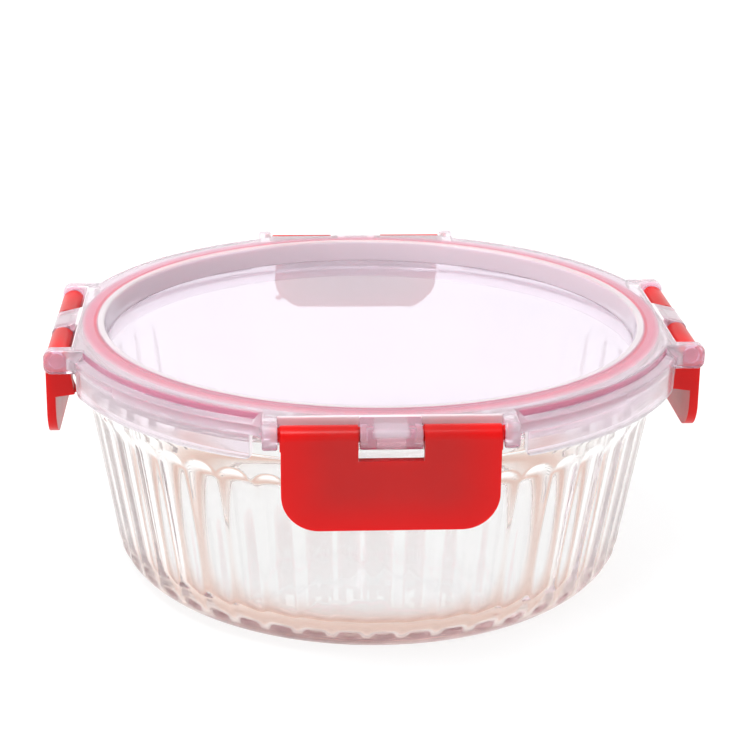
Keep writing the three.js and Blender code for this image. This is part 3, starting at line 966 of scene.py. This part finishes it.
def barrel_arc(start, end, steps):
    """Arc of the barrel's outline, as (place along Y, height, no rounding) points."""
    angles = [math.radians(start + (end - start) * step / steps) for step in range(steps + 1)]
    return [(
        barrel_radius * math.cos(a) - barrel_reach,
        hinge_z - barrel_drop + barrel_radius * math.sin(a),
        0,
    ) for a in angles]


flat_angle = math.degrees(math.acos((barrel_flat + barrel_reach - hinge_reach) / barrel_radius))
meet_angle = 180 - math.degrees(math.acos((flap_inner + hinge_reach - barrel_reach) / barrel_radius))
latch = slab("latch", [
    (-nose, flap_bottom - past, 0),
    *barrel_arc(180, flat_angle, steps=24),
    *barrel_arc(-flat_angle, -meet_angle, steps=12),
    (-hinge_reach - flap_inner, flap_bottom - past, 0),
], -latch_half, latch_half, "X", rounding=latch_rounding)
flap_cutter = slab("flap_cutter", [
    (-latch_half - past, flap_start, 0),
    (-flap_half, flap_start, 0),
    (-flap_half, flap_bottom, flap_corner),
    (flap_half, flap_bottom, flap_corner),
    (flap_half, flap_start, 0),
    (latch_half + past, flap_start, 0),
    (latch_half + past, flap_bottom - 2 * past, 0),
    (-latch_half - past, flap_bottom - 2 * past, 0),
], hinge_reach - 2 * past, hinge_reach + 2 * past, "Y")
carve(latch, flap_cutter, "DIFFERENCE")
notch_cutter = slab("notch_cutter", [
    (-notch_half, notch_bottom, soft_edge),
    (-notch_half, hinge_z + 2 * past, 0),
    (notch_half, hinge_z + 2 * past, 0),
    (notch_half, notch_bottom, soft_edge),
], hinge_reach - 2 * past, hinge_reach + 2 * past, "Y")
carve(latch, notch_cutter, "DIFFERENCE")

flap_middle = (flap_inner + nose_reach) / 2
hook_inner = hinge_reach - math.sqrt(rim_radius ** 2 - hook_half ** 2)
hook = slab("hook", [
    (-hinge_reach - flap_middle, hook_top, 0),
    (-hinge_reach - flap_middle, hook_root_bottom, 0),
    (hook_inner - hinge_reach, hook_tip_bottom, 0),
    (hook_inner - hinge_reach, hook_top, 0),
], -hook_half, hook_half, "X")
rim_room = upright_cylinder("rim_room", rim_radius + gap, flap_bottom, ridge_top)
carve(hook, rim_room, "DIFFERENCE")
carve(latch, hook, "UNION")
for side in (-1, 1):
    gusset_from, gusset_to = sorted((side * (flap_half - gusset_width), side * (flap_half - sliver)))
    gusset = slab("gusset", [
        (barrel_flat - hinge_reach - sliver, hinge_z, 0),
        (-hinge_reach - flap_middle, hinge_z, 0),
        (-hinge_reach - flap_middle, hook_root_bottom - sliver, 0),
        (gusset_reach - hinge_reach, hook_tip_bottom - sliver, 0),
    ], gusset_from, gusset_to, "X")
    carve(latch, gusset, "UNION")
    pin_from, pin_to = sorted((side * (knuckle_half - pin_length), side * (ear_inner + pin_length)))
    carve(latch, round_bar("pin", pin_radius, pin_from, pin_to, pin_segments), "UNION")

red_plastic, nodes, links = new_material("red_plastic")
red = nodes["Principled BSDF"]
clouds = mottle(nodes, links, 60, 4)
painted_shade_sheen_red = blend_colours(nodes, links, clouds, *painted_shade_sheen_reds)
painted_edge_glow_red = blend_colours(nodes, links, clouds, *painted_edge_glow_reds)
across, outward = bay_directions(nodes, links)
height = height_above_table(nodes, links)
# Painted shade and sheen in the flap's middle, painted glow towards its sides and bottom.
near_middle = where_all(
    nodes, links,
    (across, flap_half, flap_half * 0.45),
    (height, flap_bottom, flap_bottom + painted_shade_rise),
)
inward = nodes.new("ShaderNodeMix")
inward.data_type = "RGBA"
links.new(near_middle, inward.inputs[0])
links.new(painted_edge_glow_red, inward.inputs[6])
links.new(painted_shade_sheen_red, inward.inputs[7])
links.new(inward.outputs[2], red.inputs["Base Color"])
links.new(between(nodes, links, clouds, 0.3, 0.38), red.inputs["Roughness"])
links.new(relief(nodes, links, mottle(nodes, links, 1500, 3), 0.5, 0.00006), red.inputs["Normal"])
red.inputs["Specular IOR Level"].default_value = 0.08
red.inputs["Coat Weight"].default_value = 0.25
red.inputs["Coat Roughness"].default_value = 0.2
red.inputs["Subsurface Weight"].default_value = 0.5
red.inputs["Subsurface Radius"].default_value = (1.0, 0.06, 0.06)
red.inputs["Subsurface Scale"].default_value = 0.005
latch_mesh = latch.data
bpy.data.objects.remove(latch)
for bay, side_name in enumerate(("front", "right", "back", "left")):
    bm = bmesh.new()
    bm.from_mesh(latch_mesh)
    bmesh.ops.rotate(
        bm, verts=bm.verts, cent=(0, 0, 0), matrix=Matrix.Rotation(bay * math.pi / 2, 3, "Z"),
    )
    piece = object_from(bm, "latch_" + side_name + "_red")
    piece.data.shade_smooth()
    piece.data.set_sharp_from_angle(angle=math.radians(35))
    bevel = piece.modifiers.new("soft edges", "BEVEL")
    bevel.width = soft_edge
    bevel.segments = 3
    bevel.limit_method = "ANGLE"
    bevel.angle_limit = math.radians(40)
    weighted = piece.modifiers.new("flat faces", "WEIGHTED_NORMAL")
    weighted.keep_sharp = True
    piece.data.materials.append(red_plastic)
    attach(piece, "latch_" + side_name)
    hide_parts("latch_" + side_name)
